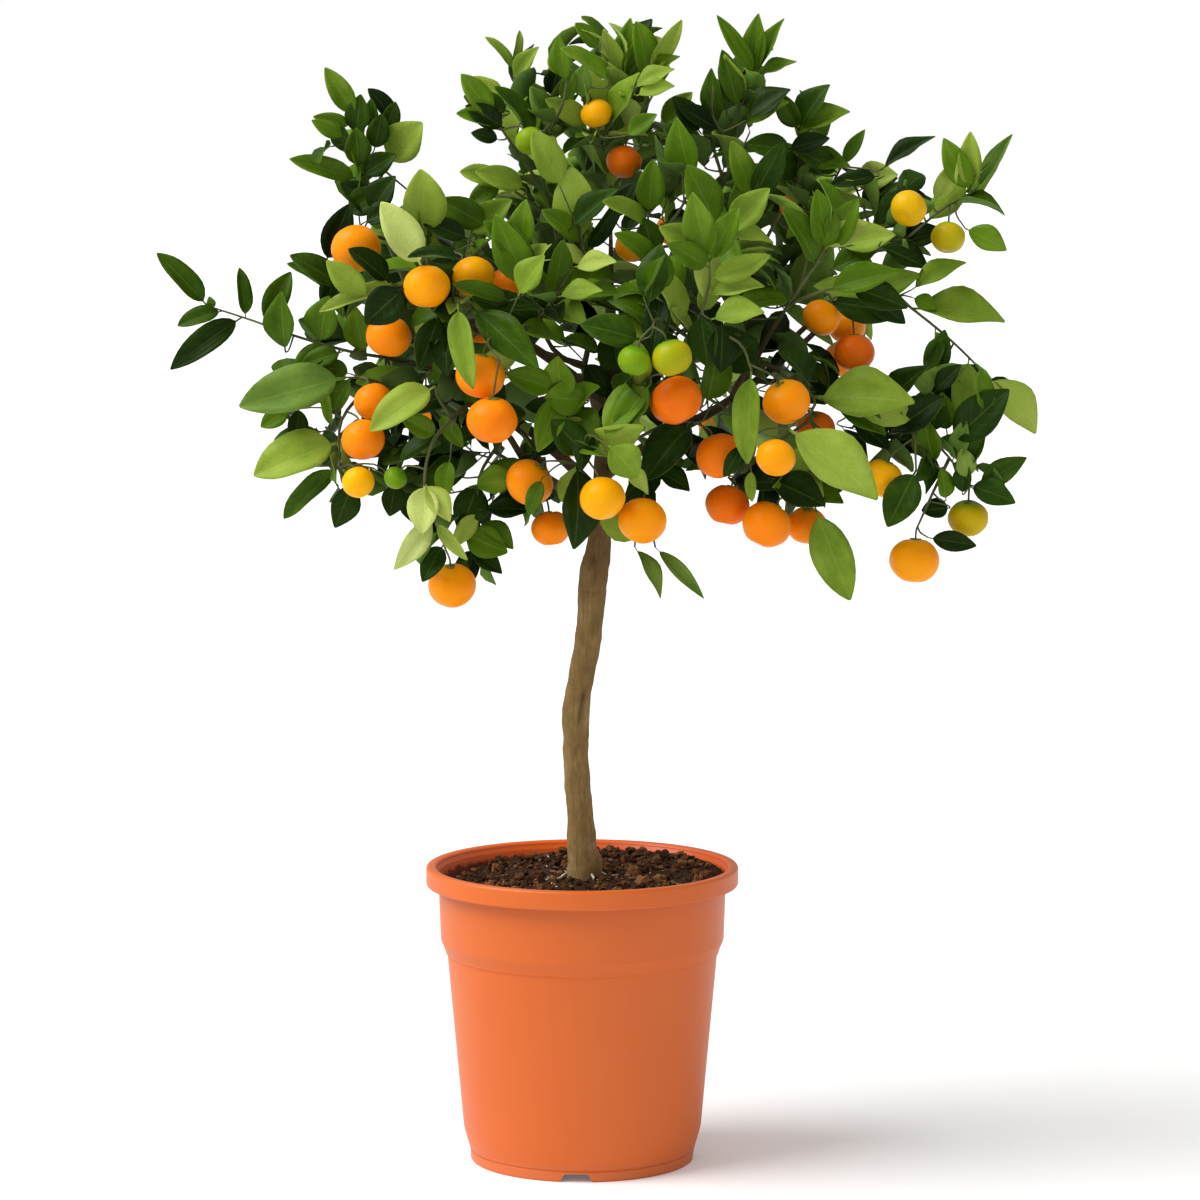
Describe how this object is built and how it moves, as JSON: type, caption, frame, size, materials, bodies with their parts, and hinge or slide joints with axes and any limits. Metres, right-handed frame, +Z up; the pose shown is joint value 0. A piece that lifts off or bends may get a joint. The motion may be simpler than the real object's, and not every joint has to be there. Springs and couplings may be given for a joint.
{
  "type": "potted calamondin tree",
  "caption": "Small citrus tree on a bare slightly bent stem, with a loose round crown of leafy shoots and small orange fruits, in a tapered round nursery pot of soil.",
  "frame": {"origin": "centre of the pot's underside, on the surface it stands on", "axes": "+Z up along the stem, +X to the right and -Y to the front of the crown"},
  "size_m": [0.6041, 0.3919, 0.8029],
  "materials": {
    "pot": "satin moulded plastic",
    "soil": "damp crumbly potting compost",
    "bark": "matt fissured bark",
    "leaf": "waxy leaf",
    "fruit_orange": "pored glossy peel",
    "fruit_yellow": "pored glossy peel",
    "fruit_green": "pored glossy peel"
  },
  "bodies": {
    "root": {"pot": "pot", "soil": "soil", "trunk": "bark", "shoot_left_reach": "leaf", "shoot_left_mid": "leaf", "shoot_upper_left": "leaf", "shoot_upper_left_front": "leaf", "shoot_young_left": "leaf", "shoot_left_low": "leaf", "shoot_centre_left": "leaf", "shoot_top_left": "leaf", "shoot_top_mid": "leaf", "shoot_top_right": "leaf", "shoot_right_top": "leaf", "shoot_right_up": "leaf", "shoot_right_reach": "leaf", "shoot_right_low": "leaf", "shoot_right_mid": "leaf", "shoot_centre_front": "leaf", "shoot_centre_right": "leaf", "shoot_centre_low": "leaf", "shoot_upper_mid": "leaf", "shoot_back_left": "leaf", "shoot_back_mid": "leaf", "shoot_back_right": "leaf", "shoot_back_low": "leaf", "fruit_01": "fruit_orange", "fruit_02": "fruit_orange", "fruit_03": "fruit_yellow", "fruit_04": "fruit_orange", "fruit_05": "fruit_orange", "fruit_06": "fruit_orange", "fruit_07": "fruit_yellow", "fruit_08": "fruit_green", "fruit_09": "fruit_orange", "fruit_10": "fruit_orange", "fruit_11": "fruit_orange", "fruit_12": "fruit_orange", "fruit_13": "fruit_orange", "fruit_14": "fruit_yellow", "fruit_15": "fruit_orange", "fruit_16": "fruit_green", "fruit_17": "fruit_green", "fruit_18": "fruit_orange", "fruit_19": "fruit_orange", "fruit_20": "fruit_orange", "fruit_21": "fruit_orange", "fruit_22": "fruit_orange", "fruit_23": "fruit_orange", "fruit_24": "fruit_orange", "fruit_25": "fruit_yellow", "fruit_26": "fruit_green", "fruit_27": "fruit_orange", "fruit_28": "fruit_orange", "fruit_29": "fruit_yellow", "fruit_30": "fruit_green", "fruit_31": "fruit_orange", "fruit_32": "fruit_orange", "fruit_33": "fruit_orange", "fruit_34": "fruit_orange"}
  },
  "joints": []
}
